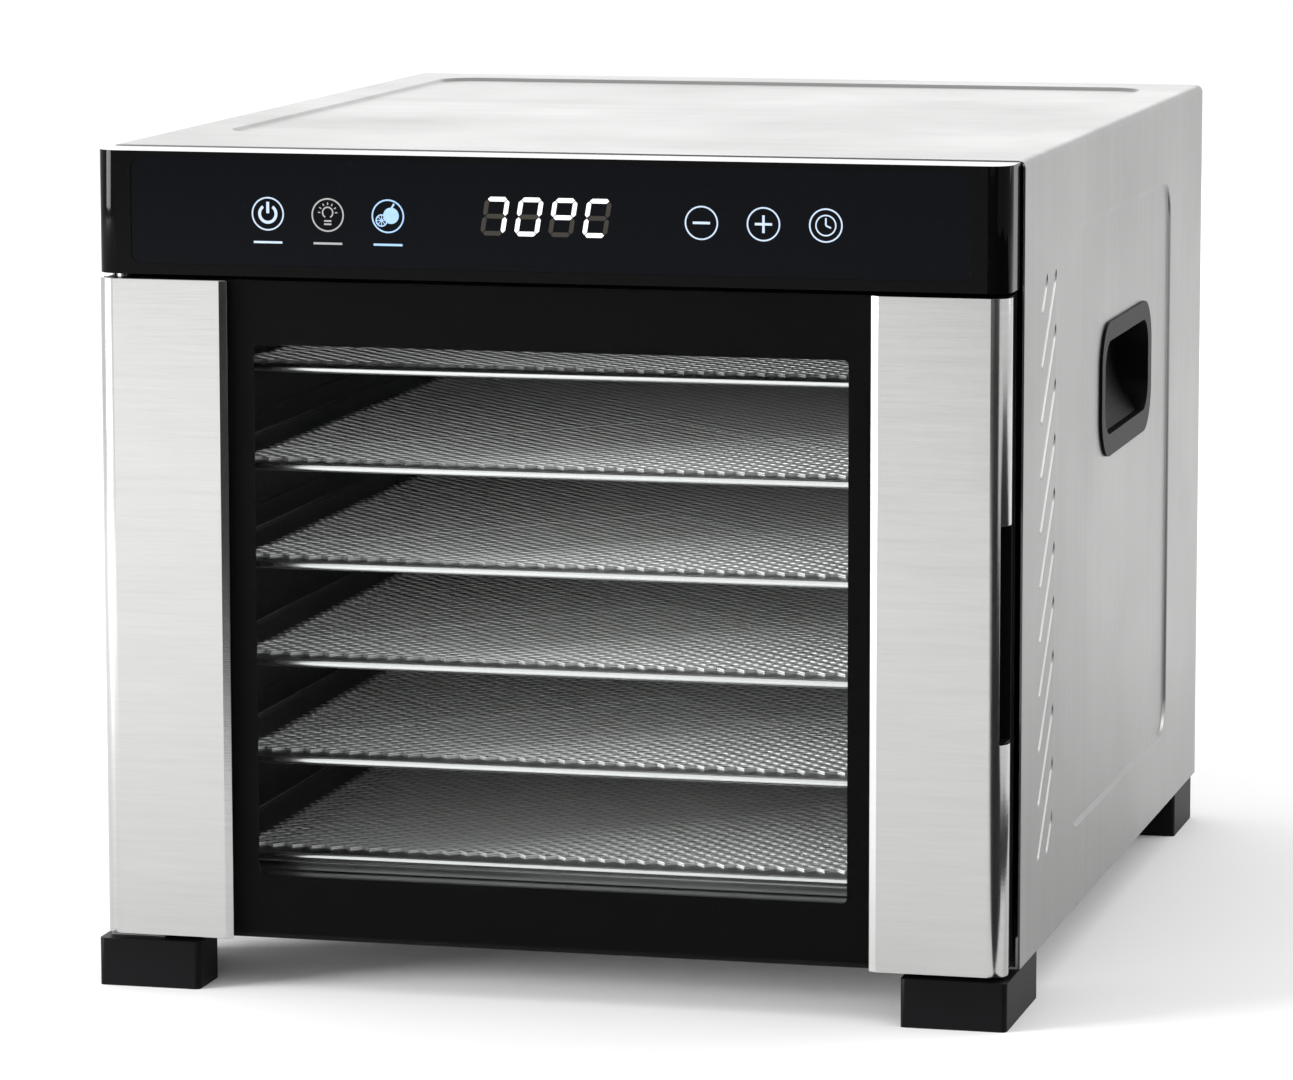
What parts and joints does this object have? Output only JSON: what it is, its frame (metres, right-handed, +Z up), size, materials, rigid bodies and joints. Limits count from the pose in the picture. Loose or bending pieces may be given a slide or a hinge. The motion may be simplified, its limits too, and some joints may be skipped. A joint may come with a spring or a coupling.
{
  "type": "food dehydrator",
  "caption": "Counter-top food dehydrator: steel cabinet, glass door with steel pillars, touch panel, sliding mesh trays, rear fan and ring heater.",
  "frame": {"origin": "on the surface it stands on, under the middle of the overall width and depth", "axes": "+Z up, -Y out of the front door, +X to the right-hand side as seen from the front"},
  "size_m": [0.347, 0.45, 0.315],
  "materials": {
    "brushed_sheet": "satin stainless sheet with a fine grain",
    "zinc_sheet": "matt galvanised sheet",
    "chamber_steel": "dark coated chamber sheet",
    "plain_steel": "plain stainless steel",
    "black_plastic": "fine textured black plastic",
    "gloss_black": "polished black plastic",
    "panel_glass": "smoked touch panel with lit icons behind it",
    "door_glass": "clear tempered glass with a black printed border",
    "pillar_steel": "stainless steel brushed along its width",
    "silicone": "soft silicone",
    "magnet": "sintered magnet",
    "motor_iron": "laminated iron and windings",
    "brass": "plain brass",
    "heater_wire": "oxidised heater tube",
    "mica": "mica sheet",
    "lamp_glass": "clear quartz tube",
    "circuit_board": "solder-masked board",
    "display": "segment display",
    "tray_steel": "bright stainless steel",
    "mesh_steel": "bright expanded stainless mesh"
  },
  "bodies": {
    "cabinet": {"casing": "brushed_sheet", "base_pan": "zinc_sheet", "rear_panel": "zinc_sheet", "rear_vent_cover": "black_plastic", "front_frame": "black_plastic", "liner_left": "chamber_steel", "liner_right": "chamber_steel", "liner_top": "chamber_steel", "liner_floor": "chamber_steel", "tray_rails_left": "chamber_steel", "tray_rails_right": "chamber_steel", "fan_cover": "chamber_steel", "fan_motor": "motor_iron", "motor_bracket": "plain_steel", "heater_coil": "heater_wire", "heater_supports": "mica", "thermal_cutout": "brass", "temperature_sensor": "plain_steel", "uv_lamp": "lamp_glass", "uv_lamp_holders": "black_plastic", "control_bezel": "gloss_black", "touch_glass": "panel_glass", "touch_board": "circuit_board", "touch_springs": "plain_steel", "display_module": "display", "power_board": "circuit_board", "handle_left": "black_plastic", "handle_right": "black_plastic", "front_feet": "black_plastic", "rear_feet": "black_plastic", "foot_screws": "plain_steel", "rear_screws": "plain_steel", "cable_gland": "black_plastic", "hinge_brackets": "plain_steel", "hinge_bushes": "brass", "catch_plates": "plain_steel"},
    "door": {"door_frame": "black_plastic", "door_glass": "door_glass", "door_pillar_left": "pillar_steel", "door_pillar_right": "pillar_steel", "door_seal": "silicone", "door_magnets": "magnet", "hinge_pins": "plain_steel"},
    "fan": {"fan_blade": "plain_steel", "fan_shaft": "plain_steel", "fan_nut": "brass"},
    "drip_tray": {"drip_tray": "tray_steel"},
    "tray_1": {"tray_frame_1": "tray_steel", "tray_mesh_1": "mesh_steel"},
    "tray_2": {"tray_frame_2": "tray_steel", "tray_mesh_2": "mesh_steel"},
    "tray_3": {"tray_frame_3": "tray_steel", "tray_mesh_3": "mesh_steel"},
    "tray_4": {"tray_frame_4": "tray_steel", "tray_mesh_4": "mesh_steel"},
    "tray_5": {"tray_frame_5": "tray_steel", "tray_mesh_5": "mesh_steel"},
    "tray_6": {"tray_frame_6": "tray_steel", "tray_mesh_6": "mesh_steel"}
  },
  "joints": [
    {"name": "door_hinge", "type": "hinge", "parent": "cabinet", "child": "door", "pos_m": [-0.165, -0.211, 0.143], "axis": [0, 0, -1], "range_deg": [0, 110]},
    {"name": "fan_spin", "type": "hinge", "parent": "cabinet", "child": "fan", "pos_m": [0, 0.162, 0.149], "axis": [0, 1, 0], "continuous": true},
    {"name": "drip_tray_slide", "type": "slide", "parent": "cabinet", "child": "drip_tray", "axis": [0, -1, 0], "range_m": [0, 0.01]},
    {"name": "tray_slide_1", "type": "slide", "parent": "cabinet", "child": "tray_1", "axis": [0, -1, 0], "range_m": [0, 0.01]},
    {"name": "tray_slide_2", "type": "slide", "parent": "cabinet", "child": "tray_2", "axis": [0, -1, 0], "range_m": [0, 0.01]},
    {"name": "tray_slide_3", "type": "slide", "parent": "cabinet", "child": "tray_3", "axis": [0, -1, 0], "range_m": [0, 0.01]},
    {"name": "tray_slide_4", "type": "slide", "parent": "cabinet", "child": "tray_4", "axis": [0, -1, 0], "range_m": [0, 0.01]},
    {"name": "tray_slide_5", "type": "slide", "parent": "cabinet", "child": "tray_5", "axis": [0, -1, 0], "range_m": [0, 0.01]},
    {"name": "tray_slide_6", "type": "slide", "parent": "cabinet", "child": "tray_6", "axis": [0, -1, 0], "range_m": [0, 0.01]}
  ]
}
